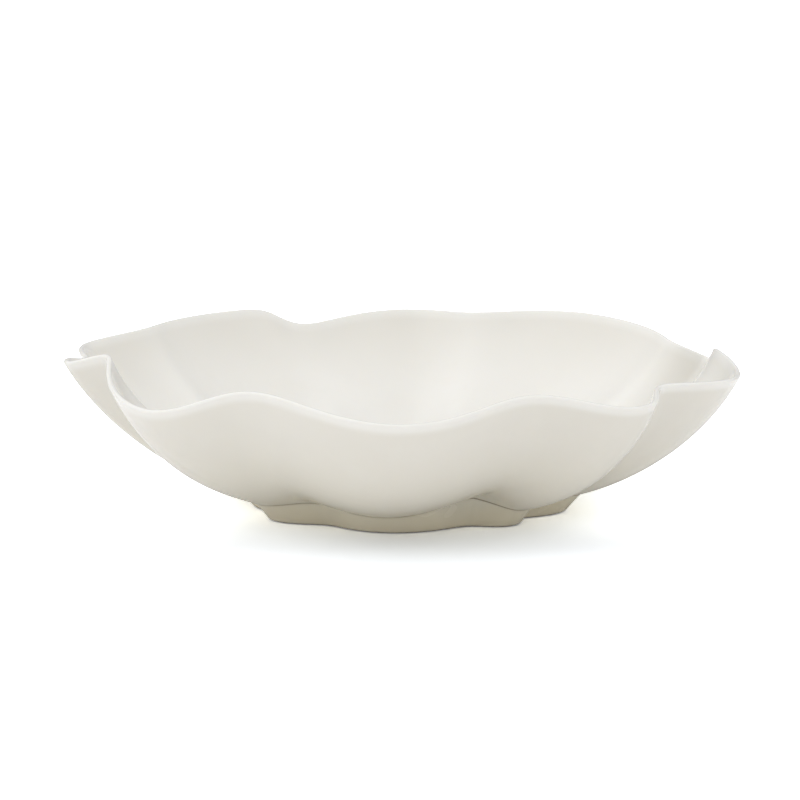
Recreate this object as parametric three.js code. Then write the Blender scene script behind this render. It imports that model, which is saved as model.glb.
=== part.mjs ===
// A free-form porcelain serving bowl, in two pieces of clay.
//
// bowl_body is a wide, shallow, thin-walled shell. Ten folds pinch it inward between ten petals,
// from the lip down to the foot, and the lip rises and falls with them. foot_ring is the low,
// lobed ring that the shell stands on, luted to its underside with a thin joint of slip.
//
// Units are millimetres and +Z is up. The foot stands on z = 0. An azimuth is in degrees from the
// front (-Y) towards the right (+X), about the foot's centre. The finished bowl is then shifted
// so that the middle of its own plan is over the origin.

import * as THREE from 'three';

// ---------------------------------------------------------------- overall sizes

const RIM_RADIUS = 181; // a petal's usual reach from the foot's centre to the lip
const RIM_HEIGHT = 75.5; // the lip's usual height above the table
const FLOOR_LIFT = 6.2; // the underside of the floor above the table
const WELL_RADIUS = 55; // where the flat floor starts to curve up into the wall

const FLOOR_THICKNESS = 5; // shell under the well
const LIP_THICKNESS = 2.8; // shell at the lip
const LIP_TAPER_END = 0.87; // share of the wall at which it has thinned to the lip's thickness

const FLOOR_HANDLE = 61; // how far the floor's flat tangent pulls the wall's curve outward
const LIP_SLOPE = 61; // degrees the wall leans up from level at the lip
const LIP_HANDLE = 38.8; // how far the lip's tangent pulls the wall's curve down and in

// ---------------------------------------------------------------- foot ring

const FOOT_RADIUS = 80.3; // the ring's outer radius on the table, at a petal
const FOOT_FLARE = 9; // how much wider the ring is where it meets the shell
const FOOT_BASE_WIDTH = 6.5; // width of the edge that stands on the table
const FOOT_INNER_LEAN = 2.5; // how much the inner wall leans in from its base to its top
const FOOT_EDGE_CHAMFER = 0.8; // the broken edge round the base, outside and inside
const FOOT_FOLD_SOFTNESS = 0.5; // roundness of the ring's notches, see foldShape
const LUTING_GAP = 0.3; // the slip joint between the ring and the shell

// ---------------------------------------------------------------- folds and petals

// One entry for each fold, in order round the bowl.
//   rimAzimuth, footAzimuth  where the fold's crease is at the lip and at the foot
//   rimPinch, footPinch      how deep it presses into the shell, square to the wall
//   rimRise                  the lip's height at the crease, more or less than RIM_HEIGHT
//   softLip, softFoot        roundness of the crease before and after it, at the lip and the foot
//   softRise                 roundness of the lip's rise to the crease
//   notch                    how deep it presses into the foot ring
const FOLDS = [
  { rimAzimuth: -73.3, footAzimuth: -71, rimPinch: 18, footPinch: 10, rimRise: 10.4,
    softLip: [0.23, 0.17], softFoot: [0.3, 0.3], softRise: 0.17, notch: 8 },
  { rimAzimuth: -28, footAzimuth: -36, rimPinch: 14, footPinch: 6, rimRise: 7.8,
    softLip: [1, 1], softFoot: [0.5, 0.5], softRise: 1, notch: 9.8 },
  { rimAzimuth: 20.6, footAzimuth: 24.7, rimPinch: 13.7, footPinch: 11, rimRise: 7.5,
    softLip: [1.1, 1.1], softFoot: [0.4, 0.1], softRise: 1.1, notch: 11 },
  { rimAzimuth: 53.3, footAzimuth: 57, rimPinch: 19, footPinch: 8, rimRise: 2.8,
    softLip: [0.35, 0.35], softFoot: [0.2, 0.2], softRise: 0.35, notch: 10.5 },
  { rimAzimuth: 97.7, footAzimuth: 98, rimPinch: 15.8, footPinch: 9, rimRise: 3.5,
    softLip: [1.2, 0.12], softFoot: [0.35, 0.35], softRise: 1.2, notch: 10 },
  { rimAzimuth: 121.4, footAzimuth: 130, rimPinch: 15, footPinch: 9, rimRise: -2,
    softLip: [0.25, 0.25], softFoot: [0.35, 0.35], softRise: 0.25, notch: 10 },
  { rimAzimuth: 166.6, footAzimuth: 166, rimPinch: 11, footPinch: 9, rimRise: 2.4,
    softLip: [0.6, 0.6], softFoot: [0.4, 0.4], softRise: 0.6, notch: 10 },
  { rimAzimuth: 200.5, footAzimuth: 200, rimPinch: 13, footPinch: 9, rimRise: -3,
    softLip: [0.45, 0.45], softFoot: [0.4, 0.4], softRise: 0.45, notch: 10 },
  { rimAzimuth: 239.2, footAzimuth: 238, rimPinch: 15, footPinch: 9, rimRise: 5.4,
    softLip: [0.2, 0.3], softFoot: [0.35, 0.35], softRise: 0.25, notch: 10 },
  { rimAzimuth: 268, footAzimuth: 262, rimPinch: 12, footPinch: 9, rimRise: 1,
    softLip: [0.3, 0.3], softFoot: [0.35, 0.35], softRise: 0.3, notch: 10 },
];

// One entry for each petal, each between the fold of the same number and the next.
//   rimAzimuth, footAzimuth  where the petal's crest is at the lip and at the foot
//   rimReach                 its reach at the lip, more or less than RIM_RADIUS
//   rimRise                  its lip's height, more or less than RIM_HEIGHT
//   footReach                its lobe of the foot ring, more or less than FOOT_RADIUS
const PETALS = [
  { rimAzimuth: -49, footAzimuth: -56.5, rimReach: -3.3, rimRise: -6.1, footReach: 4.2 },
  { rimAzimuth: -1.2, footAzimuth: -8.2, rimReach: 1.9, rimRise: -2.9, footReach: -1.4 },
  { rimAzimuth: 40, footAzimuth: 41.6, rimReach: -2.4, rimRise: -1.6, footReach: -0.6 },
  { rimAzimuth: 73.4, footAzimuth: 77, rimReach: -4.4, rimRise: -0.4, footReach: 3.4 },
  { rimAzimuth: 115, footAzimuth: 115, rimReach: 2.3, rimRise: -10.3, footReach: 1 },
  { rimAzimuth: 145, footAzimuth: 148, rimReach: 0, rimRise: 4, footReach: 1 },
  { rimAzimuth: 180.4, footAzimuth: 183, rimReach: 0, rimRise: 2, footReach: 1 },
  { rimAzimuth: 211.3, footAzimuth: 213, rimReach: 0, rimRise: 5.5, footReach: 1 },
  { rimAzimuth: 254.5, footAzimuth: 248, rimReach: 1.2, rimRise: 2.5, footReach: 1 },
  { rimAzimuth: 279, footAzimuth: 273, rimReach: 1.5, rimRise: 4.9, footReach: 1.8 },
];

const RIM_RISE_EASE = 1.3; // above 1, the lip's rise and fall stays near the lip

// ---------------------------------------------------------------- mesh fineness

const COLUMNS_PER_PETAL = 14;
const COLUMN_CROWDING = 0.08; // pulls the columns of vertices towards the creases
const WALL_ROWS = 12; // rings of vertices from the well to the lip, on each face
const RING_TOP_STEPS = 8; // radial steps across the foot ring's seat

// ---------------------------------------------------------------- materials

const glaze = new THREE.MeshStandardMaterial({
  name: 'cream_glaze',
  color: 0xf2eee4,
  roughness: 0.16,
  metalness: 0,
});

const footGlaze = new THREE.MeshStandardMaterial({
  name: 'foot_glaze',
  color: 0xe4dece,
  roughness: 0.3,
  metalness: 0,
});

// ---------------------------------------------------------------- going round the bowl

const petalCount = PETALS.length;
const columnCount = petalCount * COLUMNS_PER_PETAL;

// A place round the bowl is a petal count: a whole number is a fold's crease, and half-way
// between two whole numbers is the crest of the petal between them.
function placeOfColumn(column) {
  const even = column / COLUMNS_PER_PETAL;
  return even - COLUMN_CROWDING * Math.sin(2 * Math.PI * even);
}

// A smooth closed curve through equally spaced values (Catmull-Rom). turn is what the value
// gains in one time round, which is 360 for an azimuth.
function smoothAround(values, position, turn = 0) {
  const count = values.length;
  const start = Math.floor(position);
  const f = position - start;
  const valueAt = (index) => {
    const wrapped = ((index % count) + count) % count;
    return values[wrapped] + turn * Math.floor(index / count);
  };
  const before = valueAt(start - 1);
  const from = valueAt(start);
  const to = valueAt(start + 1);
  const after = valueAt(start + 2);
  const leave = (to - before) / 2;
  const arrive = (after - from) / 2;
  const f2 = f * f;
  const f3 = f2 * f;
  return (
    (2 * f3 - 3 * f2 + 1) * from +
    (f3 - 2 * f2 + f) * leave +
    (3 * f2 - 2 * f3) * to +
    (f3 - f2) * arrive
  );
}

// Azimuths of crease, crest, crease, crest and so on, at the lip or at the foot.
const azimuthsOf = (key) => FOLDS.flatMap((fold, i) => [fold[key], PETALS[i][key]]);
const rimAzimuths = azimuthsOf('rimAzimuth');
const footAzimuths = azimuthsOf('footAzimuth');

const aroundPetals = (key, place) => smoothAround(PETALS.map((petal) => petal[key]), place - 0.5);

// The fold nearest to a place, and which side of its crease the place is: 0 before, 1 after.
function nearestFold(place) {
  const nearest = Math.round(place);
  const fold = FOLDS[((nearest % petalCount) + petalCount) % petalCount];
  return { fold, side: place < nearest ? 0 : 1 };
}

// 0 at a crease and 1 at the crests on both sides of it. A softness near 0 gives a sharp crease
// between two full petals, and a softness near 1 gives an even wave.
function foldShape(place, softness) {
  const wave = Math.sin(Math.PI * place);
  const full = Math.sqrt(1 + softness * softness) - softness;
  return (Math.sqrt(wave * wave + softness * softness) - softness) / full;
}

// ---------------------------------------------------------------- the shell's outer face

const footTopRadius = FOOT_RADIUS + FOOT_FLARE;
const lipSlope = THREE.MathUtils.degToRad(LIP_SLOPE);

// The section through a petal's crest, from the edge of the well to the lip: x is a radius and
// y is a height.
const petalSection = new THREE.CubicBezierCurve(
  new THREE.Vector2(WELL_RADIUS, FLOOR_LIFT),
  new THREE.Vector2(WELL_RADIUS + FLOOR_HANDLE, FLOOR_LIFT),
  new THREE.Vector2(
    RIM_RADIUS - LIP_HANDLE * Math.cos(lipSlope),
    RIM_HEIGHT - LIP_HANDLE * Math.sin(lipSlope),
  ),
  new THREE.Vector2(RIM_RADIUS, RIM_HEIGHT),
);

// A point of the shell's outer face. place goes round the bowl and along goes from 0 at the edge
// of the well to 1 at the lip. The petal's section is swung to its azimuth, reaches out to its
// own rim, and is pressed in square to itself by the nearest fold.
function outerPoint(place, along) {
  const section = petalSection.getPoint(along);
  const tangent = petalSection.getTangent(along);
  const climb = THREE.MathUtils.clamp(
    (section.x - footTopRadius) / (RIM_RADIUS - footTopRadius), 0, 1,
  );
  const easedClimb = THREE.MathUtils.smoothstep(climb, 0, 1);
  const footAzimuth = smoothAround(footAzimuths, 2 * place, 360);
  const rimAzimuth = smoothAround(rimAzimuths, 2 * place, 360);
  const azimuth = THREE.MathUtils.degToRad(THREE.MathUtils.lerp(footAzimuth, rimAzimuth, climb));

  const { fold, side } = nearestFold(place);
  const softness = THREE.MathUtils.lerp(fold.softFoot[side], fold.softLip[side], easedClimb);
  const pressed = 1 - foldShape(place, softness);
  const started = THREE.MathUtils.smoothstep(section.x, WELL_RADIUS, footTopRadius);
  const pinch = THREE.MathUtils.lerp(fold.footPinch, fold.rimPinch, climb) * pressed * started;

  const petalRise = aroundPetals('rimRise', place);
  const foldRise = fold.rimRise - aroundPetals('rimRise', Math.round(place));
  const lipRise = petalRise + foldRise * (1 - foldShape(place, fold.softRise));

  const radius =
    section.x +
    aroundPetals('rimReach', place) * climb +
    aroundPetals('footReach', place) * (1 - climb) ** 4 * started -
    pinch * tangent.y;
  const height =
    section.y + lipRise * easedClimb ** RIM_RISE_EASE + pinch * tangent.x * (1 - climb);
  return new THREE.Vector3(radius * Math.sin(azimuth), -radius * Math.cos(azimuth), height);
}

// outerGrid[column][row], from the edge of the well up to the lip.
const outerGrid = Array.from({ length: columnCount }, (_, column) =>
  Array.from({ length: WALL_ROWS + 1 }, (__, row) =>
    outerPoint(placeOfColumn(column), row / WALL_ROWS),
  ),
);

// ---------------------------------------------------------------- the shell's inner face

function shellThickness(row) {
  const thinned = Math.min(row / WALL_ROWS / LIP_TAPER_END, 1);
  return THREE.MathUtils.lerp(FLOOR_THICKNESS, LIP_THICKNESS, thinned);
}

// The direction into the bowl, square to the outer face, from the neighbours on the grid. At the
// edge of the well it is straight up, because the floor there is flat.
function inwardNormal(column, row) {
  if (row === 0) return new THREE.Vector3(0, 0, 1);
  const left = outerGrid[(column + columnCount - 1) % columnCount][row];
  const right = outerGrid[(column + 1) % columnCount][row];
  const below = outerGrid[column][row - 1];
  const above = outerGrid[column][Math.min(row + 1, WALL_ROWS)];
  const around = new THREE.Vector3().subVectors(right, left);
  const up = new THREE.Vector3().subVectors(above, below);
  return new THREE.Vector3().crossVectors(around, up).multiplyScalar(-1).normalize();
}

const innerGrid = outerGrid.map((points, column) =>
  points.map((point, row) =>
    point.clone().addScaledVector(inwardNormal(column, row), shellThickness(row)),
  ),
);

// ---------------------------------------------------------------- closed meshes from loops

// Joins loops of columnCount vertices into one skin, each loop to the next. The loops run round
// the bowl, and a skin that goes up its outside and down its inside faces outward.
function skinIndices(loopCount, closed) {
  const indices = [];
  const lastLoop = closed ? loopCount : loopCount - 1;
  for (let loop = 0; loop < lastLoop; loop++) {
    const next = (loop + 1) % loopCount;
    for (let column = 0; column < columnCount; column++) {
      const beside = (column + 1) % columnCount;
      const a = loop * columnCount + column;
      const b = loop * columnCount + beside;
      const c = next * columnCount + beside;
      const d = next * columnCount + column;
      indices.push(a, b, c, a, c, d);
    }
  }
  return indices;
}

function geometryOf(points, indices) {
  const geometry = new THREE.BufferGeometry().setFromPoints(points);
  geometry.setIndex(indices);
  geometry.computeVertexNormals();
  return geometry;
}

const loopFrom = (pointOfColumn) =>
  Array.from({ length: columnCount }, (_, column) => pointOfColumn(column));

// ---------------------------------------------------------------- bowl_body

// The underside's middle, up the outer face, over the rounded lip, and down the inner face to the
// middle of the well.
function makeBowlBody() {
  const loops = [];
  for (let row = 0; row <= WALL_ROWS; row++) {
    loops.push(loopFrom((column) => outerGrid[column][row]));
  }
  loops.push(loopFrom((column) => {
    const outer = outerGrid[column][WALL_ROWS];
    const inner = innerGrid[column][WALL_ROWS];
    const crown = new THREE.Vector3().subVectors(outer, outerGrid[column][WALL_ROWS - 1]);
    crown.setLength(LIP_THICKNESS / 2);
    return new THREE.Vector3().lerpVectors(outer, inner, 0.5).add(crown);
  }));
  for (let row = WALL_ROWS; row >= 0; row--) {
    loops.push(loopFrom((column) => innerGrid[column][row]));
  }
  const points = loops.flat();
  const indices = skinIndices(loops.length, false);

  const undersideMiddle = points.push(new THREE.Vector3(0, 0, FLOOR_LIFT)) - 1;
  const wellMiddle = points.push(new THREE.Vector3(0, 0, FLOOR_LIFT + FLOOR_THICKNESS)) - 1;
  const lastLoop = (loops.length - 1) * columnCount;
  for (let column = 0; column < columnCount; column++) {
    const beside = (column + 1) % columnCount;
    indices.push(undersideMiddle, beside, column);
    indices.push(wellMiddle, lastLoop + column, lastLoop + beside);
  }
  const mesh = new THREE.Mesh(geometryOf(points, indices), glaze);
  mesh.name = 'bowl_body';
  return mesh;
}

// ---------------------------------------------------------------- foot_ring

// The height of the shell's underside in one column, at a radius over the foot.
function undersideHeight(column, radius) {
  const points = outerGrid[column];
  const radii = points.map((point) => Math.hypot(point.x, point.y));
  if (radius <= radii[0]) return FLOOR_LIFT;
  const above = radii.findIndex((value) => value > radius);
  const share = (radius - radii[above - 1]) / (radii[above] - radii[above - 1]);
  return THREE.MathUtils.lerp(points[above - 1].z, points[above].z, share);
}

// A lobed ring of tapering section. Its seat follows the shell's underside, one luting gap below.
function makeFootRing() {
  const pointAt = (column, radius, height) => {
    const azimuth = Math.atan2(outerGrid[column][0].x, -outerGrid[column][0].y);
    return new THREE.Vector3(radius * Math.sin(azimuth), -radius * Math.cos(azimuth), height);
  };
  const baseRadius = (column) => {
    const place = placeOfColumn(column);
    const { fold } = nearestFold(place);
    const pressed = 1 - foldShape(place, FOOT_FOLD_SOFTNESS);
    return FOOT_RADIUS + aroundPetals('footReach', place) - fold.notch * pressed;
  };
  const seat = (column, share) => {
    const outside = baseRadius(column) + FOOT_FLARE;
    const inside = baseRadius(column) - FOOT_BASE_WIDTH - FOOT_INNER_LEAN;
    const radius = THREE.MathUtils.lerp(outside, inside, share);
    return pointAt(column, radius, undersideHeight(column, radius) - LUTING_GAP);
  };

  const loops = [
    loopFrom((column) => pointAt(column, baseRadius(column) - FOOT_BASE_WIDTH, FOOT_EDGE_CHAMFER)),
    loopFrom((column) =>
      pointAt(column, baseRadius(column) - FOOT_BASE_WIDTH + FOOT_EDGE_CHAMFER, 0)),
    loopFrom((column) => pointAt(column, baseRadius(column) - FOOT_EDGE_CHAMFER, 0)),
    loopFrom((column) => pointAt(column, baseRadius(column), FOOT_EDGE_CHAMFER)),
  ];
  for (let step = 0; step <= RING_TOP_STEPS; step++) {
    loops.push(loopFrom((column) => seat(column, step / RING_TOP_STEPS)));
  }
  const mesh = new THREE.Mesh(geometryOf(loops.flat(), skinIndices(loops.length, true)), footGlaze);
  mesh.name = 'foot_ring';
  return mesh;
}

// ---------------------------------------------------------------- assembly

const bowl = new THREE.Group();
bowl.add(makeBowlBody(), makeFootRing());

const reach = new THREE.Box3().setFromObject(bowl);
bowl.position.set(-(reach.min.x + reach.max.x) / 2, -(reach.min.y + reach.max.y) / 2, -reach.min.z);

const servingBowl = new THREE.Group();
servingBowl.add(bowl);

export default servingBowl;
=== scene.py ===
"""A free-form porcelain serving bowl, in its cream glaze, on a white studio sweep.

The bowl is two pieces of clay: a thin shell that ten folds pinch inward between ten petals, and
the low lobed foot ring luted under it. Both are surfaces worked out here from the same sizes as
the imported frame, finer than the frame's own facets. Lengths are millimetres until a mesh is made,
and azimuths are degrees from the front (-Y) towards the right (+X).
"""

import logging
import math
from dataclasses import dataclass, field
from enum import Enum

import bpy
import numpy as np
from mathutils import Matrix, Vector


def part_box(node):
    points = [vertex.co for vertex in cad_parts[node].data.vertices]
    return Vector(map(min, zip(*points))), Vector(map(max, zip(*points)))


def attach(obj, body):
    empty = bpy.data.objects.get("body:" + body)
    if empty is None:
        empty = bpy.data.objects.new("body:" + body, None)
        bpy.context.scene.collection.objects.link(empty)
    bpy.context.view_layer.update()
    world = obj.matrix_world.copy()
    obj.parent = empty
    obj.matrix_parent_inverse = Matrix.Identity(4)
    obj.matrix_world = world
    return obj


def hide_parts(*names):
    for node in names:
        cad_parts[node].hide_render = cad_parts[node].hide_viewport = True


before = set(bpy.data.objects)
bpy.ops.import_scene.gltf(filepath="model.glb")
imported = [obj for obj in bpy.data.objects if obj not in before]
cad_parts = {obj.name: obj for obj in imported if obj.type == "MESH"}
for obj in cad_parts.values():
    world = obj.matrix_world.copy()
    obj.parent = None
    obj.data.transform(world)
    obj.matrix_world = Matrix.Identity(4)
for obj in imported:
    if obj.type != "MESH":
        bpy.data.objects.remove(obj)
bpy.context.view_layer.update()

logging.basicConfig(level=logging.INFO, format="%(name)s: %(message)s")
log = logging.getLogger("serving_bowl")

MM = 0.001
HIGHEST_SEAT = 0.9  # share of the wall above which the ring never meets it
HALVINGS = 24  # enough to find a place on the wall to a millionth of its length
Colour = tuple[float, float, float]


# ---------------------------------------------------------------- curves round and along the bowl


def smoothstep(value: np.ndarray, low: float, high: float) -> np.ndarray:
    """Eases from 0 at low to 1 at high: 3x^2 - 2x^3 of the share of the way.

    Args:
        value: where to read the curve.
        low: the value at which it leaves 0.
        high: the value at which it reaches 1.

    Returns:
        The eased share, from 0 to 1.
    """
    share = np.clip((value - low) / (high - low), 0.0, 1.0)
    return share * share * (3.0 - 2.0 * share)


def smooth_around(values: list[float], position: np.ndarray, turn: float = 0.0) -> np.ndarray:
    """A closed Catmull-Rom curve through equally spaced values.

    Each stretch is the cubic whose slope at a value is half the step between that value's two
    neighbours.

    Args:
        values: the values to pass through, one for each whole position.
        position: where to read the curve; it wraps round.
        turn: what the value gains in one time round, which is 360 for an azimuth.

    Returns:
        The curve's value at each position.
    """
    knots = np.asarray(values, dtype=float)
    start = np.floor(position).astype(int)
    f = position - start

    def at(index: np.ndarray) -> np.ndarray:
        """The knot of an index that may be past either end."""
        return knots[index % len(knots)] + turn * (index // len(knots))

    before, here, there, after = at(start - 1), at(start), at(start + 1), at(start + 2)
    leave = (there - before) / 2.0
    arrive = (after - here) / 2.0
    f2 = f * f
    f3 = f2 * f
    return (
        (2.0 * f3 - 3.0 * f2 + 1.0) * here
        + (f3 - 2.0 * f2 + f) * leave
        + (3.0 * f2 - 2.0 * f3) * there
        + (f3 - f2) * arrive
    )


def fold_shape(place: np.ndarray, softness: np.ndarray | float) -> np.ndarray:
    """0 at a crease and 1 at the crests beside it: a rounded |sin|.

    The root of sin^2 plus softness^2 is brought down to start at 0 and scaled to end at 1, so a
    softness near 0 gives a sharp crease and one near 1 an even wave.

    Args:
        place: the place round the bowl, a whole number at each crease.
        softness: the roundness of the crease.

    Returns:
        The height of the wave, from 0 to 1.
    """
    wave = np.sin(np.pi * place)
    full = np.sqrt(1.0 + softness * softness) - softness
    return (np.sqrt(wave * wave + softness * softness) - softness) / full


# ---------------------------------------------------------------- the form of the bowl


@dataclass(frozen=True)
class Fold:
    """One inward fold. Two softnesses are before and after its crease."""

    rim_azimuth: float
    foot_azimuth: float
    rim_pinch: float
    foot_pinch: float
    rim_rise: float
    soft_lip: tuple[float, float]
    soft_foot: tuple[float, float]
    soft_rise: float
    notch: float


@dataclass(frozen=True)
class Petal:
    """One petal, between the fold of the same number and the next."""

    rim_azimuth: float
    foot_azimuth: float
    rim_reach: float
    rim_rise: float
    foot_reach: float


FOLDS = (
    Fold(-73.3, -71, 18, 10, 10.4, (0.23, 0.17), (0.3, 0.3), 0.17, 8),
    Fold(-28, -36, 14, 6, 7.8, (1, 1), (0.5, 0.5), 1, 9.8),
    Fold(20.6, 24.7, 13.7, 11, 7.5, (1.1, 1.1), (0.4, 0.1), 1.1, 11),
    Fold(53.3, 57, 19, 8, 2.8, (0.35, 0.35), (0.2, 0.2), 0.35, 10.5),
    Fold(97.7, 98, 15.8, 9, 3.5, (1.2, 0.12), (0.35, 0.35), 1.2, 10),
    Fold(121.4, 130, 15, 9, -2, (0.25, 0.25), (0.35, 0.35), 0.25, 10),
    Fold(166.6, 166, 11, 9, 2.4, (0.6, 0.6), (0.4, 0.4), 0.6, 10),
    Fold(200.5, 200, 13, 9, -3, (0.45, 0.45), (0.4, 0.4), 0.45, 10),
    Fold(239.2, 238, 15, 9, 5.4, (0.2, 0.3), (0.35, 0.35), 0.25, 10),
    Fold(268, 262, 12, 9, 1, (0.3, 0.3), (0.35, 0.35), 0.3, 10),
)

PETALS = (
    Petal(-49, -56.5, -3.3, -6.1, 4.2),
    Petal(-1.2, -8.2, 1.9, -2.9, -1.4),
    Petal(40, 41.6, -2.4, -1.6, -0.6),
    Petal(73.4, 77, -4.4, -0.4, 3.4),
    Petal(115, 115, 2.3, -10.3, 1),
    Petal(145, 148, 0, 4, 1),
    Petal(180.4, 183, 0, 2, 1),
    Petal(211.3, 213, 0, 5.5, 1),
    Petal(254.5, 248, 1.2, 2.5, 1),
    Petal(279, 273, 1.5, 4.9, 1.8),
)


@dataclass(frozen=True)
class BowlForm:
    """The outer face of the shell, which the shell's thickness and the foot ring both follow."""

    rim_radius: float = 181.0
    rim_height: float = 75.5
    floor_lift: float = 6.2
    well_radius: float = 55.0
    floor_handle: float = 61.0
    lip_slope: float = 61.0
    lip_handle: float = 38.8
    foot_radius: float = 80.3
    foot_flare: float = 9.0
    rim_rise_ease: float = 1.3
    folds: tuple[Fold, ...] = FOLDS
    petals: tuple[Petal, ...] = PETALS

    @property
    def foot_top_radius(self) -> float:
        """The foot ring's outer radius where it meets the shell."""
        return self.foot_radius + self.foot_flare

    def places(self, columns: int, crowding: float) -> np.ndarray:
        """Places round the bowl, drawn towards the creases.

        Args:
            columns: how many places.
            crowding: how far they are drawn.

        Returns:
            A row of places, a whole number at each crease.
        """
        even = np.arange(columns) / columns * len(self.petals)
        return even - crowding * np.sin(2.0 * np.pi * even)

    def around_petals(self, name: str, place: np.ndarray) -> np.ndarray:
        """A petal's value carried smoothly round the bowl, exact at each crest."""
        return smooth_around([getattr(petal, name) for petal in self.petals], place - 0.5)

    def azimuth(self, name: str, place: np.ndarray) -> np.ndarray:
        """The azimuth in degrees, smoothly through every crease and crest in turn."""
        pairs = zip(self.folds, self.petals)
        values = [getattr(item, name) for pair in pairs for item in pair]
        return smooth_around(values, 2.0 * place, 360.0)

    def fold_value(self, name: str, place: np.ndarray) -> np.ndarray:
        """A value of the nearest fold; of a pair, the one for the side that the place is on."""
        nearest = np.floor(place + 0.5).astype(int)
        values = np.array([getattr(fold, name) for fold in self.folds], dtype=float)
        index = nearest % len(self.folds)
        if values.ndim == 1:
            return values[index]
        return values[index, np.where(place < nearest, 0, 1)]

    def section(self, along: np.ndarray) -> tuple[np.ndarray, np.ndarray, np.ndarray, np.ndarray]:
        """The section through a petal's crest: a cubic Bezier from the well's edge to the lip.

        Args:
            along: 0 at the edge of the well and 1 at the lip.

        Returns:
            Radius, height, and the two parts of the unit tangent.
        """
        slope = math.radians(self.lip_slope)
        ends = np.array([
            (self.well_radius, self.floor_lift),
            (self.well_radius + self.floor_handle, self.floor_lift),
            (self.rim_radius - self.lip_handle * math.cos(slope),
             self.rim_height - self.lip_handle * math.sin(slope)),
            (self.rim_radius, self.rim_height),
        ])
        t = along[..., None]
        s = 1.0 - t
        point = s**3 * ends[0] + 3 * s * s * t * ends[1] + 3 * s * t * t * ends[2] + t**3 * ends[3]
        slope_at = (
            s * s * (ends[1] - ends[0]) + 2 * s * t * (ends[2] - ends[1]) + t * t * (ends[3] - ends[2])
        )
        tangent = slope_at / np.linalg.norm(slope_at, axis=-1, keepdims=True)
        return point[..., 0], point[..., 1], tangent[..., 0], tangent[..., 1]

    def pressed(self, place: np.ndarray, climb: np.ndarray) -> np.ndarray:
        """How far into the nearest fold a place is: 1 on the crease and 0 on the crests."""
        foot = self.fold_value("soft_foot", place)
        lip = self.fold_value("soft_lip", place)
        return 1.0 - fold_shape(place, foot + (lip - foot) * smoothstep(climb, 0.0, 1.0))

    def outer(self, place: np.ndarray, along: np.ndarray) -> np.ndarray:
        """The shell's outer face as a function of two parameters.

        The petal's section is swung to its azimuth, reaches out to its own rim, and is pressed in
        square to itself by the nearest fold. The lip's rise fades down the wall.

        Args:
            place: the place round the bowl.
            along: 0 at the edge of the well and 1 at the lip.

        Returns:
            Points in millimetres about the foot's centre, with x, y and z last.
        """
        place, along = np.broadcast_arrays(place, along)
        radius, height, run, lift = self.section(along)
        top = self.foot_top_radius
        climb = np.clip((radius - top) / (self.rim_radius - top), 0.0, 1.0)
        foot_azimuth = self.azimuth("foot_azimuth", place)
        rim_azimuth = self.azimuth("rim_azimuth", place)
        azimuth = np.radians(foot_azimuth + (rim_azimuth - foot_azimuth) * climb)

        started = smoothstep(radius, self.well_radius, top)
        foot_pinch = self.fold_value("foot_pinch", place)
        rim_pinch = self.fold_value("rim_pinch", place)
        depth = foot_pinch + (rim_pinch - foot_pinch) * climb
        pinch = depth * self.pressed(place, climb) * started

        crease = np.floor(place + 0.5)
        fold_rise = self.fold_value("rim_rise", place) - self.around_petals("rim_rise", crease)
        rising = 1.0 - fold_shape(place, self.fold_value("soft_rise", place))
        lip_rise = self.around_petals("rim_rise", place) + fold_rise * rising

        reach = self.around_petals("rim_reach", place) * climb
        foot_reach = self.around_petals("foot_reach", place) * (1.0 - climb) ** 4 * started
        out = radius + reach + foot_reach - pinch * lift
        eased = smoothstep(climb, 0.0, 1.0) ** self.rim_rise_ease
        up = height + lip_rise * eased + pinch * run * (1.0 - climb)
        return np.stack([out * np.sin(azimuth), -out * np.cos(azimuth), up], axis=-1)

    def inward(self, place: np.ndarray, along: np.ndarray) -> np.ndarray:
        """The unit direction into the bowl, square to the outer face, from small steps on it."""
        step = 0.002
        across = self.outer(place + step, along) - self.outer(place - step, along)
        above = np.clip(along + step, 0.0, 1.0)
        below = np.clip(along - step, 0.0, 1.0)
        upward = self.outer(place, above) - self.outer(place, below)
        normal = -np.cross(across, upward)
        return normal / np.linalg.norm(normal, axis=-1, keepdims=True)

    def underside(self, place: np.ndarray, radius: np.ndarray) -> np.ndarray:
        """The height of the shell's underside at a radius, found by halving along the wall.

        Args:
            place: the place round the bowl.
            radius: the radius over the foot's centre.

        Returns:
            Heights above the table; inside the well's edge, the floor's own.
        """
        place, radius = np.broadcast_arrays(place, radius)
        low = np.zeros(radius.shape)
        high = np.full(radius.shape, HIGHEST_SEAT)
        for _ in range(HALVINGS):
            middle = (low + high) / 2.0
            reached = np.hypot(*np.moveaxis(self.outer(place, middle)[..., :2], -1, 0))
            short = reached < radius
            low = np.where(short, middle, low)
            high = np.where(short, high, middle)
        return self.outer(place, (low + high) / 2.0)[..., 2]


# ---------------------------------------------------------------- meshes from loops of points


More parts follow.
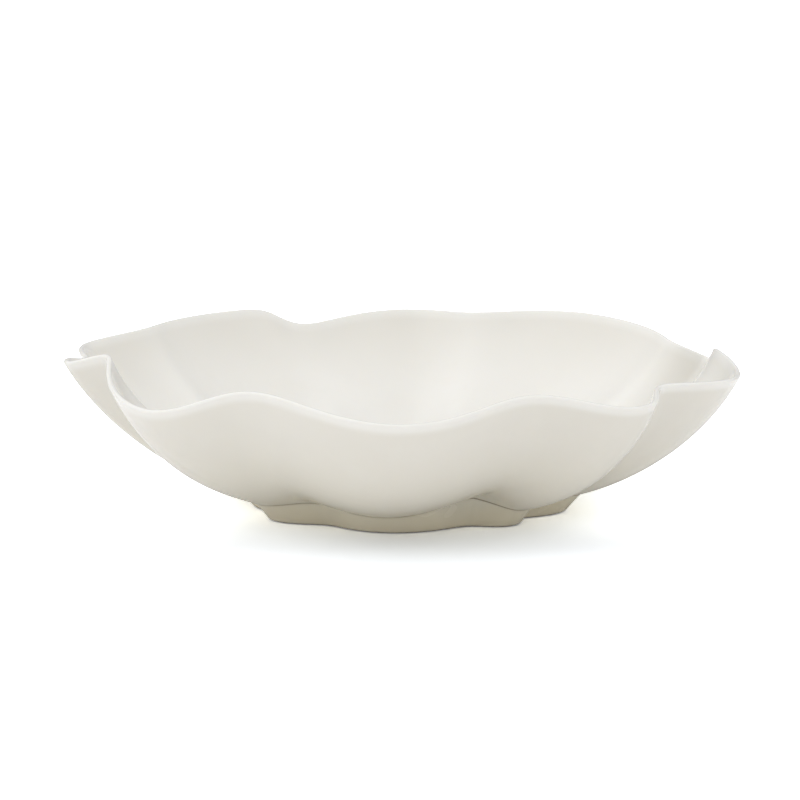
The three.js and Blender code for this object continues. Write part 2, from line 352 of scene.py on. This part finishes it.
@dataclass
class LoopMesh:
    """A closed mesh from loops of points, each loop running once round the bowl.

    A skin whose loops go up its outside and down its inside faces outward.
    """

    name: str
    loops: np.ndarray
    wrap: bool
    caps: tuple[np.ndarray, ...] = ()
    attributes: dict[str, np.ndarray] = field(default_factory=dict)

    def faces(self) -> tuple[np.ndarray, np.ndarray]:
        """Quads from each loop to the next, and triangles from the end loops to the two caps."""
        rows, columns = self.loops.shape[:2]
        index = np.arange(rows * columns).reshape(rows, columns)
        beside = np.roll(index, -1, axis=1)
        last = rows if self.wrap else rows - 1
        up = np.roll(index, -1, axis=0)[:last]
        up_beside = np.roll(beside, -1, axis=0)[:last]
        quads = np.stack([index[:last], beside[:last], up_beside, up], axis=-1).reshape(-1, 4)
        if self.wrap:
            return quads, np.empty((0, 3), dtype=int)
        first_cap = np.full(columns, rows * columns)
        fan_first = np.stack([first_cap, beside[0], index[0]], axis=-1)
        fan_last = np.stack([first_cap + 1, index[-1], beside[-1]], axis=-1)
        return quads, np.concatenate([fan_first, fan_last])

    def build(self, shift: np.ndarray) -> bpy.types.Object:
        """Makes the object, in metres, with its place in its mesh.

        Args:
            shift: what to add to each point, in millimetres, to bring it into the frame.

        Returns:
            The new object, linked into the scene.
        """
        points = np.concatenate([self.loops.reshape(-1, 3), *[cap[None] for cap in self.caps]])
        points = (points + shift) * MM
        quads, triangles = self.faces()
        corners = np.concatenate([quads.ravel(), triangles.ravel()])
        sizes = np.concatenate([np.full(len(quads), 4), np.full(len(triangles), 3)])
        mesh = bpy.data.meshes.new(self.name)
        mesh.vertices.add(len(points))
        mesh.vertices.foreach_set("co", points.ravel())
        mesh.loops.add(len(corners))
        mesh.loops.foreach_set("vertex_index", corners)
        mesh.polygons.add(len(sizes))
        mesh.polygons.foreach_set("loop_start", np.cumsum(sizes) - sizes)
        mesh.polygons.foreach_set("use_smooth", np.ones(len(sizes), dtype=bool))
        for name, values in self.attributes.items():
            layer = mesh.attributes.new(name, "FLOAT", "POINT")
            layer.data.foreach_set("value", values.astype(np.float32))
        mesh.update(calc_edges=True)
        mesh.validate()
        piece = bpy.data.objects.new(self.name, mesh)
        bpy.context.scene.collection.objects.link(piece)
        log.info("%s: %d vertices, %d faces", self.name, len(points), len(sizes))
        return piece


# ---------------------------------------------------------------- finishes


class Socket(str, Enum):
    """The shader sockets that the finishes set, by name."""

    COLOUR = "Base Color"
    ROUGHNESS = "Roughness"
    NORMAL = "Normal"
    IOR = "IOR"
    COAT = "Coat Weight"
    COAT_ROUGHNESS = "Coat Roughness"
    SUBSURFACE = "Subsurface Weight"
    SUBSURFACE_SCALE = "Subsurface Scale"
    SUBSURFACE_RADIUS = "Subsurface Radius"


class NodeTree:
    """A short way to add and join shader nodes."""

    def __init__(self, name: str) -> None:
        """Starts a material with only a Principled shader and an output.

        Args:
            name: the material's name.
        """
        self.material = bpy.data.materials.new(name)
        self.material.use_nodes = True
        self.tree = self.material.node_tree
        self.shader = self.tree.nodes["Principled BSDF"]

    def add(self, kind: str, **settings: object) -> bpy.types.Node:
        """Adds a node and sets its properties, such as an operation."""
        node = self.tree.nodes.new(kind)
        for name, value in settings.items():
            setattr(node, name, value)
        return node

    def join(self, source: bpy.types.NodeSocket, target: bpy.types.NodeSocket) -> None:
        """Links an output to an input."""
        self.tree.links.new(source, target)

    def noise(self, size: float, detail: float = 2.0, roughness: float = 0.5) -> bpy.types.NodeSocket:
        """Smooth noise on the object's own coordinates.

        Args:
            size: the width of its features, in metres.
            detail: how many finer layers it has.
            roughness: how strong each finer layer is.

        Returns:
            The noise's value, around one half.
        """
        place = self.add("ShaderNodeTexCoord")
        node = self.add("ShaderNodeTexNoise")
        node.inputs["Scale"].default_value = 1.0 / size
        node.inputs["Detail"].default_value = detail
        node.inputs["Roughness"].default_value = roughness
        self.join(place.outputs["Object"], node.inputs["Vector"])
        return node.outputs["Fac"]

    def attribute(self, name: str) -> bpy.types.NodeSocket:
        """The value that the mesh carries under a name."""
        node = self.add("ShaderNodeAttribute", attribute_name=name)
        return node.outputs["Fac"]

    def math(self, operation: str, first: object, second: object) -> bpy.types.NodeSocket:
        """One sum on two values, each a socket or a number.

        Args:
            operation: Blender's name for the sum, such as MULTIPLY.
            first: the first value.
            second: the second value.

        Returns:
            The answer.
        """
        node = self.add("ShaderNodeMath", operation=operation)
        for socket, value in zip(node.inputs, (first, second)):
            if isinstance(value, bpy.types.NodeSocket):
                self.join(value, socket)
            else:
                socket.default_value = value
        return node.outputs["Value"]

    def spread(self, value: bpy.types.NodeSocket, low: float, high: float,
               to_low: float, to_high: float) -> bpy.types.NodeSocket:
        """Maps low..high smoothly onto to_low..to_high, and no further."""
        node = self.add("ShaderNodeMapRange", interpolation_type="SMOOTHSTEP")
        self.join(value, node.inputs["Value"])
        names = ("From Min", "From Max", "To Min", "To Max")
        for name, number in zip(names, (low, high, to_low, to_high)):
            node.inputs[name].default_value = number
        return node.outputs["Result"]

    def mix(self, share: bpy.types.NodeSocket, first: object, second: object) -> bpy.types.NodeSocket:
        """Mixes two colours, each a socket or a colour, by a share."""
        node = self.add("ShaderNodeMix", data_type="RGBA")
        self.join(share, node.inputs["Factor"])
        for name, value in (("A", first), ("B", second)):
            socket = next(s for s in node.inputs if s.name == name and s.type == "RGBA")
            if isinstance(value, bpy.types.NodeSocket):
                self.join(value, socket)
            else:
                socket.default_value = (*value, 1.0)
        return next(s for s in node.outputs if s.type == "RGBA")

    def along(self, axis: str) -> bpy.types.NodeSocket:
        """The shaded point's own X, Y or Z, in metres."""
        place = self.add("ShaderNodeTexCoord")
        parts = self.add("ShaderNodeSeparateXYZ")
        self.join(place.outputs["Object"], parts.inputs["Vector"])
        return parts.outputs[axis]

    def bump(self, height: bpy.types.NodeSocket, distance: float) -> bpy.types.Node:
        """A bump from a height that is 0 to 1, as deep as a distance in metres."""
        node = self.add("ShaderNodeBump")
        node.inputs["Strength"].default_value = 1.0
        node.inputs["Distance"].default_value = distance
        self.join(height, node.inputs["Height"])
        return node


@dataclass(frozen=True)
class PorcelainGlaze:
    """Clear cream glaze over white clay.

    Light and shade are painted into its colour: it is palest at the lip and on the ridges, a
    painted highlight, and darker and warmer in the petals' hollows and over the outside and the
    foot, painted shade. Low on the outside it is warmer still. The edge that stands on the table is
    unglazed, its darker colour partly painted contact shadow, and a dark line of painted shade runs
    where the ring meets the shell. The mesh's attributes for the depth of shade, the warmth and the
    shade line say where, and one that a piece doesn't carry reads as 0. Features and depths are in
    metres.
    """

    name: str
    # The first two colours are the lit and the shaded ends of the glaze, mixed by the depth of painted
    # shade.
    pale: Colour = (0.84, 0.828, 0.79)
    dark: Colour = (0.745, 0.722, 0.66)
    cloud: Colour = (0.79, 0.772, 0.72)
    warm: Colour = (0.83, 0.80, 0.70)
    # A dark line of painted shade where the ring meets the shell.
    joint_shade: Colour = (0.26, 0.21, 0.13)
    # Unglazed clay, darkened partly as painted contact shadow.
    bare_shaded: Colour = (0.60, 0.56, 0.49)
    bare_height: float = 0.0009
    bare_fade: float = 0.0004
    bare_raggedness: float = 0.0006
    roughness: float = 0.17
    rougher: float = 0.04
    smoother: float = 0.03
    bare_roughness: float = 0.8
    ior: float = 1.5
    coat: float = 0.35
    coat_roughness: float = 0.06
    subsurface: float = 0.12
    subsurface_scale: float = 0.004
    subsurface_radius: Colour = (1.0, 0.85, 0.6)
    drift: float = 0.2
    pale_depth: float = 0.1
    dark_depth: float = 1.1
    cloudiness: float = 0.25
    swell_depth: float = 0.00012
    peel_depth: float = 0.000006
    grain_depth: float = 0.00008

    def make(self) -> bpy.types.Material:
        """Builds the material.

        Returns:
            The glaze, ready to put on a piece that carries its attributes.
        """
        nodes = NodeTree(self.name)
        shader = nodes.shader.inputs
        shader[Socket.IOR.value].default_value = self.ior
        shader[Socket.COAT.value].default_value = self.coat
        shader[Socket.COAT_ROUGHNESS.value].default_value = self.coat_roughness
        shader[Socket.SUBSURFACE.value].default_value = self.subsurface
        shader[Socket.SUBSURFACE_SCALE.value].default_value = self.subsurface_scale
        shader[Socket.SUBSURFACE_RADIUS.value].default_value = self.subsurface_radius

        drift = nodes.math("MULTIPLY", nodes.noise(0.055, detail=3.0), self.drift)
        # Painted shade and highlight: the depth of shade, with random drift added, mixes the lit
        # colour towards the shaded one.
        depth = nodes.math("ADD", nodes.attribute("painted_shade_depth"), drift)
        darkened = nodes.spread(depth, self.pale_depth, self.dark_depth, 0.0, 1.0)
        glazed = nodes.mix(darkened, self.pale, self.dark)
        patches = nodes.noise(0.018, detail=4.0, roughness=0.6)
        clouds = nodes.spread(patches, 0.45, 0.75, 0.0, self.cloudiness)
        clouded = nodes.mix(clouds, glazed, self.cloud)
        # Warmer where the mesh says, low on the outside.
        warmed = nodes.mix(nodes.attribute("low_outside_warmth"), clouded, self.warm)
        # A dark line of painted shade at the joint of ring and shell.
        joint_shaded = nodes.mix(nodes.attribute("joint_shade_mask"), warmed, self.joint_shade)

        # The unglazed standing edge; its darker colour is partly painted contact shadow.
        ragged = nodes.math("MULTIPLY", nodes.noise(0.006), self.bare_raggedness)
        edge = nodes.math("SUBTRACT", nodes.along("Z"), ragged)
        bare_top = self.bare_height - self.bare_fade
        glazed_share = nodes.spread(edge, bare_top, self.bare_height, 0.0, 1.0)
        nodes.join(nodes.mix(glazed_share, self.bare_shaded, joint_shaded), shader[Socket.COLOUR.value])

        smoothest, roughest = self.roughness - self.smoother, self.roughness + self.rougher
        wavering = nodes.spread(nodes.noise(0.03), 0.3, 0.7, smoothest, roughest)
        matt = nodes.math("SUBTRACT", 1.0, glazed_share)
        matt_extra = nodes.math("MULTIPLY", matt, self.bare_roughness - self.roughness)
        nodes.join(nodes.math("ADD", wavering, matt_extra), shader[Socket.ROUGHNESS.value])

        swell = nodes.bump(nodes.noise(0.022, detail=1.0), self.swell_depth)
        peel = nodes.bump(nodes.noise(0.0016, detail=1.0), self.peel_depth)
        grain = nodes.bump(nodes.noise(0.0005, detail=2.0), self.grain_depth)
        nodes.join(matt, grain.inputs["Strength"])
        nodes.join(swell.outputs["Normal"], peel.inputs["Normal"])
        nodes.join(peel.outputs["Normal"], grain.inputs["Normal"])
        nodes.join(grain.outputs["Normal"], shader[Socket.NORMAL.value])
        return nodes.material


@dataclass(frozen=True)
class SweepPaper:
    """Matt white paper under the bowl, exposed until the open paper is pure white.

    It shows brighter towards the back, from front to back in metres, so the bowl's shade falls
    mostly in front. What it bounces is even.
    """

    name: str = "sweep_paper"
    shown_front: float = 1.3
    shown_back: float = 2.6
    front: float = -0.12
    back: float = 0.0
    bounced: float = 1.0
    even: Colour = (1.0, 1.0, 1.0)
    cast: Colour = (0.965, 1.0, 1.055)

    def make(self) -> bpy.types.Material:
        """Builds the material.

        Returns:
            A matt white whose brightness as seen and as a reflector are set apart.
        """
        nodes = NodeTree(self.name)
        nodes.tree.nodes.remove(nodes.shader)
        tone = nodes.spread(nodes.noise(0.4), 0.3, 0.7, 0.99, 1.0)
        shown = nodes.spread(nodes.along("Y"), self.front, self.back,
                             self.shown_front, self.shown_back)
        sides = []
        for level, tint in ((self.bounced, self.even), (shown, self.cast)):
            side = nodes.add("ShaderNodeBsdfDiffuse")
            tinted = nodes.add("ShaderNodeVectorMath", operation="MULTIPLY")
            nodes.join(nodes.math("MULTIPLY", tone, level), tinted.inputs[0])
            tinted.inputs[1].default_value = tint
            nodes.join(tinted.outputs["Vector"], side.inputs["Color"])
            sides.append(side.outputs["BSDF"])
        seen = nodes.add("ShaderNodeLightPath").outputs["Is Camera Ray"]
        mixed = nodes.add("ShaderNodeMixShader")
        nodes.join(seen, mixed.inputs["Fac"])
        nodes.join(sides[0], mixed.inputs[1])
        nodes.join(sides[1], mixed.inputs[2])
        nodes.join(mixed.outputs["Shader"], nodes.tree.nodes["Material Output"].inputs["Surface"])
        return nodes.material


# ---------------------------------------------------------------- the two pieces of clay


@dataclass
class BowlShell:
    """The folded wall: its outer face, rounded lip, inner face and flat well, as one skin."""

    form: BowlForm
    glaze: PorcelainGlaze
    floor_thickness: float = 5.0
    lip_thickness: float = 2.8
    lip_taper_end: float = 0.87
    columns: int = 560
    crowding: float = 0.08
    wall_rows: int = 64
    floor_rows: int = 8
    lip_rows: int = 9
    # Depths of painted shade: the outside and the underside shaded, the inside and the well lit.
    outside_shade: float = 0.72
    inside_shade: float = 0.08
    underside_shade: float = 0.8
    well_shade: float = 0.1
    # Painted shade in each petal's hollow.
    hollow_shade: float = 0.3
    # Painted shade on the outside towards the right azimuth.
    right_shade: float = 0.3
    right_azimuth: float = 75.0
    # How much the inside darkens towards the lip.
    upper_inside_darkening: float = 0.35

    def thickness(self, along: np.ndarray) -> np.ndarray:
        """The wall's thickness: the floor's at the well, thinning evenly to the lip's."""
        thinned = np.clip(along / self.lip_taper_end, 0.0, 1.0)
        return self.floor_thickness + (self.lip_thickness - self.floor_thickness) * thinned

    def lip(self, outer: np.ndarray, inner: np.ndarray, upward: np.ndarray) -> np.ndarray:
        """Half a circle over the lip, from its outer edge to its inner one.

        Each point is the middle plus the half width turned through its share of 180 degrees, from
        outward, through straight up the wall, to inward.
        """
        middle = (outer + inner) / 2.0
        half = outer - middle
        crown = upward * np.linalg.norm(half, axis=-1, keepdims=True)
        angle = np.linspace(0.0, np.pi, self.lip_rows + 2)[1:-1, None, None]
        return middle + half * np.cos(angle) + crown * np.sin(angle)

    def floor_rings(self, edge: np.ndarray) -> np.ndarray:
        """Rings from the edge of the well to near its middle, shrinking in even steps."""
        share = np.linspace(1.0, 0.0, self.floor_rows + 1)[1:-1, None, None]
        return edge * np.array([1.0, 1.0, 0.0]) * share + edge * np.array([0.0, 0.0, 1.0])

    def build(self, shift: np.ndarray) -> bpy.types.Object:
        """Makes the shell and dresses it.

        Args:
            shift: the step into the frame, in millimetres.

        Returns:
            The shell's object.
        """
        place = self.form.places(self.columns, self.crowding)[None, :]
        along = np.linspace(0.0, 1.0, self.wall_rows + 1)[:, None]
        outer = self.form.outer(place, along)
        inner = outer + self.form.inward(place, along) * self.thickness(along)[..., None]
        upward = outer[-1] - outer[-2]
        upward /= np.linalg.norm(upward, axis=-1, keepdims=True)
        lip = self.lip(outer[-1], inner[-1], upward)
        under = self.floor_rings(outer[0])[::-1]
        well = self.floor_rings(inner[0])
        loops = np.concatenate([under, outer, lip, inner[::-1], well])

        depth, warmth = self.dressing(place, along)
        floor = self.form.floor_lift
        caps = (np.array([0.0, 0.0, floor]), np.array([0.0, 0.0, floor + self.floor_thickness]))
        dressing = {"painted_shade_depth": depth, "low_outside_warmth": warmth}
        mesh = LoopMesh("bowl_shell", loops, False, caps, dressing)
        piece = mesh.build(shift)
        piece.data.materials.append(self.glaze.make())
        return piece

    def dressing(self, place: np.ndarray, along: np.ndarray) -> tuple[np.ndarray, np.ndarray]:
        """How deep the painted shade lies and how warm the colour is.

        Painted shade darkens the hollow of each petal, less so up the wall, and lies over the whole
        outside, most of all to the right, and only lightly inside. Inside the colour darkens again
        towards the lip. A painted highlight pales the top of the wall and the lip. The colour is warm
        only outside, fading up the wall.

        Args:
            place: the place round the bowl, as a row.
            along: 0 at the edge of the well and 1 at the lip, as a column.

        Returns:
            Depth of painted shade and warmth, one of each for every vertex.
        """
        hollow = 1.0 - self.form.pressed(place, along)
        # Painted shade in each petal's hollow, fading up the wall.
        darkened = self.hollow_shade * hollow * (1.0 - 0.6 * along)
        # Painted highlight: no shade over the top twentieth of the wall, so the colour pales along the
        # lip.
        below_lip_highlight = 1.0 - smoothstep(along, 0.95, 1.0)
        # Painted shade on the outside, heaviest towards the right azimuth.
        turned = self.form.azimuth("rim_azimuth", place) - self.right_azimuth
        to_the_right = self.right_shade * smoothstep(np.cos(np.radians(turned)), 0.2, 1.0)
        outside = (self.outside_shade + darkened + to_the_right) * below_lip_highlight
        # The inside darkens towards the lip.
        upper = self.upper_inside_darkening * smoothstep(along, 0.55, 0.95)
        inside = (self.inside_shade + darkened + upper) * below_lip_highlight

        floor_shape = (self.floor_rows - 1, self.columns)
        lip_shape = (self.lip_rows, self.columns)
        # The underside lies in painted shade; the lip carries none, a painted highlight, and the well
        # little.
        depth = self.spread_rows([np.full(floor_shape, self.underside_shade), outside,
                                  np.zeros(lip_shape), inside[::-1],
                                  np.full(floor_shape, self.well_shade)])
        # Warmer low on the outside and under the floor, fading up the wall.
        low = np.broadcast_to(1.0 - smoothstep(along, 0.15, 0.9), outside.shape)
        warmth = self.spread_rows([np.ones(floor_shape), low, np.zeros(lip_shape),
                                   np.zeros(inside.shape), np.zeros(floor_shape)])
        return depth, warmth

    @staticmethod
    def spread_rows(rows: list[np.ndarray]) -> np.ndarray:
        """One value for each vertex, from the loops' values and the two poles' values."""
        poles = np.array([rows[0].flat[0], rows[-1].flat[0]])
        return np.concatenate([part.ravel() for part in rows] + [poles])

    def plan_middle(self) -> np.ndarray:
        """The middle of the shell's plan about the foot's centre, in millimetres."""
        place = self.form.places(self.columns, self.crowding)[None, :]
        rim = self.form.outer(place, np.array([[1.0]]))[0]
        middle = (rim.min(axis=0) + rim.max(axis=0)) / 2.0
        return middle * np.array([1.0, 1.0, 0.0])


@dataclass
class FootRing:
    """The lobed ring, with a rounded standing edge and coves of glaze where it meets the shell."""

    form: BowlForm
    glaze: PorcelainGlaze
    base_width: float = 6.5
    inner_lean: float = 2.5
    edge_round: float = 2.2
    inner_round: float = 1.4
    cove: float = 2.2
    softness: float = 0.5
    bedded: float = 0.15
    # Painted shade on the ring: darkest at the table, lifting up the wall and again near the top.
    base_shade: float = 0.9
    wall_shade_lift: float = 0.2
    top_shade_lift: float = 0.5
    # Painted shade line at the joint of ring and shell: its loops and strength.
    joint_shade_rows: tuple[int, int] = (5, 1)  # loops of the outer cove, counted back from its end
    joint_shade_strength: float = 0.75
    columns: int = 560
    crowding: float = 0.08
    steps: int = 8

    def curve(self, start: np.ndarray, corner: np.ndarray, end: np.ndarray) -> np.ndarray:
        """A corner rounded by a quadratic Bezier, for every column at once."""
        t = np.linspace(0.0, 1.0, self.steps + 1)[:, None, None]
        return (1.0 - t) ** 2 * start + 2.0 * t * (1.0 - t) * corner + t * t * end

    def base_radius(self, place: np.ndarray) -> np.ndarray:
        """The ring's outline on the table: its lobes, notched by each fold."""
        notch = self.form.fold_value("notch", place) * (1.0 - fold_shape(place, self.softness))
        return self.form.foot_radius + self.form.around_petals("foot_reach", place) - notch

    def section(self, place: np.ndarray) -> np.ndarray:
        """The ring's section in every column, as radius and height.

        It runs from the inner wall down to the table, along the standing edge, round its outer
        corner, up the flared wall, through a cove onto the shell, and back under the shell.
        """
        base = self.base_radius(place)
        outside = base + self.form.foot_flare
        inside = base - self.base_width - self.inner_lean
        zero = np.zeros_like(base)

        def at(radius: np.ndarray, height: np.ndarray) -> np.ndarray:
            """A radius and height for every column."""
            return np.stack([radius, height], axis=-1)

        def under(radius: np.ndarray) -> np.ndarray:
            """The point of the shell's underside at a radius, a little inside the clay."""
            return at(radius, self.form.underside(place, radius) + self.bedded)

        top = under(outside)
        wall = top - at(base, zero)
        wall /= np.linalg.norm(wall, axis=-1, keepdims=True)
        inner_top = under(inside)
        inner_foot = at(base - self.base_width, zero)
        inner_wall = inner_top - inner_foot
        inner_wall /= np.linalg.norm(inner_wall, axis=-1, keepdims=True)
        flat = at(zero + 1.0, zero)
        pieces = [
            self.curve(under(inside - self.cove), inner_top, inner_top - inner_wall * self.cove),
            self.curve(inner_foot + inner_wall * self.inner_round, inner_foot,
                       inner_foot + flat * self.inner_round),
            self.curve(at(base, zero) - flat * self.edge_round, at(base, zero),
                       at(base, zero) + wall * self.edge_round),
            self.curve(top - wall * self.cove, top, under(outside + self.cove)),
        ]
        return np.concatenate(pieces)

    def build(self, shift: np.ndarray) -> bpy.types.Object:
        """Makes the ring and dresses it.

        Args:
            shift: the step into the frame, in millimetres.

        Returns:
            The ring's object.
        """
        place = self.form.places(self.columns, self.crowding)
        section = self.section(place)
        azimuth = np.radians(self.form.azimuth("foot_azimuth", place))[None, :]
        radius, height = section[..., 0], section[..., 1]
        loops = np.stack([radius * np.sin(azimuth), -radius * np.cos(azimuth), height], axis=-1)
        # Painted shade: darkest at the table, lighter up the wall and lighter again near the shell.
        depth = self.base_shade - self.wall_shade_lift * smoothstep(height, 0.0, 6.0)
        depth = depth - self.top_shade_lift * smoothstep(height, 10.0, 15.0)
        # A dark line of painted shade along the outer cove where the ring meets the shell.
        joint_shade = np.zeros(height.shape)
        joint_shade[-self.joint_shade_rows[0]:-self.joint_shade_rows[1]] = self.joint_shade_strength
        mesh = LoopMesh("foot_ring_clay", loops, True, (),
                        {"painted_shade_depth": depth.ravel(), "joint_shade_mask": joint_shade.ravel()})
        piece = mesh.build(shift)
        piece.data.materials.append(self.glaze.make())
        return piece


# ---------------------------------------------------------------- the studio


@dataclass(frozen=True)
class Glow:
    """A broad patch of the dome that is brighter than the rest.

    Its light grows smoothly from nothing at its edge to its full strength at its middle.
    """

    towards: tuple[float, float, float]
    strength: float
    edge: float
    middle: float = 1.0


@dataclass
class Studio:
    """A white tent over a white sweep, brighter above and behind, and a long lens."""

    paper: SweepPaper = SweepPaper()
    floor_half: float = 12.0
    dome: float = 0.33
    glows: tuple[Glow, ...] = (
        Glow((0.0, 0.7, 0.7), 0.24, 0.3),
        Glow((0.0, 0.0, 1.0), 0.18, 0.5),
        Glow((-0.8, 0.0, 0.6), 0.80, 0.4),
        Glow((0.8, 0.0, 0.6), 0.54, 0.4),
        Glow((0.0, -0.8, 0.6), 0.48, 0.4),
    )
    aim: tuple[float, float, float] = (-0.0008, 0.0046, 0.056)
    elevation: float = 9.41
    distance: float = 2.2
    lens: float = 186.6
    sensor: float = 36.0

    def make_floor(self) -> bpy.types.Object:
        """A flat sheet under the foot, far larger than the view."""
        half = self.floor_half
        corners = [(-half, -half, 0.0), (half, -half, 0.0), (half, half, 0.0), (-half, half, 0.0)]
        mesh = bpy.data.meshes.new("floor")
        mesh.from_pydata(corners, [], [(0, 1, 2, 3)])
        floor = bpy.data.objects.new("floor", mesh)
        floor.data.materials.append(self.paper.make())
        bpy.context.scene.collection.objects.link(floor)
        return floor

    def make_dome(self) -> None:
        """The tent: an even white, with a broad smooth glow for each entry."""
        world = bpy.data.worlds.new("studio")
        world.use_nodes = True
        tree = world.node_tree
        background = tree.nodes["Background"]
        background.inputs["Color"].default_value = (1.0, 1.0, 1.0, 1.0)
        direction = tree.nodes.new("ShaderNodeTexCoord").outputs["Generated"]
        total = None
        for glow in self.glows:
            facing = tree.nodes.new("ShaderNodeVectorMath")
            facing.operation = "DOT_PRODUCT"
            tree.links.new(direction, facing.inputs[0])
            facing.inputs[1].default_value = Vector(glow.towards).normalized()
            grown = tree.nodes.new("ShaderNodeMapRange")
            grown.interpolation_type = "SMOOTHSTEP"
            grown.inputs["From Min"].default_value = glow.edge
            grown.inputs["From Max"].default_value = glow.middle
            grown.inputs["To Max"].default_value = glow.strength
            tree.links.new(facing.outputs["Value"], grown.inputs["Value"])
            added = tree.nodes.new("ShaderNodeMath")
            added.inputs[1].default_value = self.dome
            if total is not None:
                tree.links.new(total, added.inputs[1])
            tree.links.new(grown.outputs["Result"], added.inputs[0])
            total = added.outputs["Value"]
        tree.links.new(total, background.inputs["Strength"])
        bpy.context.scene.world = world

    def make_camera(self) -> bpy.types.Object:
        """The camera, in front of the bowl and a little above it."""
        rise = math.radians(self.elevation)
        away = Vector((0.0, -math.cos(rise), math.sin(rise)))
        data = bpy.data.cameras.new("camera")
        data.lens = self.lens
        data.sensor_width = self.sensor
        camera = bpy.data.objects.new("camera", data)
        camera.location = Vector(self.aim) + away * self.distance
        camera.rotation_euler = away.to_track_quat("Z", "Y").to_euler()
        bpy.context.scene.collection.objects.link(camera)
        bpy.context.scene.camera = camera
        return camera


# ---------------------------------------------------------------- making the scene


def main() -> None:
    """Builds the studio and the bowl, and ties each new piece to the frame."""
    bpy.context.scene.view_settings.view_transform = "Standard"
    studio = Studio()
    studio.make_camera()
    studio.make_dome()
    studio.make_floor()

    form = BowlForm()
    shell = BowlShell(form, PorcelainGlaze("cream_glaze_coat"))
    foot_glaze = PorcelainGlaze("foot_glaze_coat", pale=(0.86, 0.82, 0.70), dark=(0.83, 0.765, 0.60),
                                cloud=(0.78, 0.72, 0.56), roughness=0.24)
    ring = FootRing(form, foot_glaze)

    low, high = (np.array(corner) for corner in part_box("bowl_body"))
    cad_middle = (low + high) / 2.0 / MM * np.array([1.0, 1.0, 0.0])
    shift = cad_middle - shell.plan_middle()

    shell_piece = shell.build(shift)
    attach(shell_piece, "root")
    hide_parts("bowl_body")

    ring_piece = ring.build(shift)
    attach(ring_piece, "root")
    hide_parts("foot_ring")


if __name__ == "__main__":
    main()
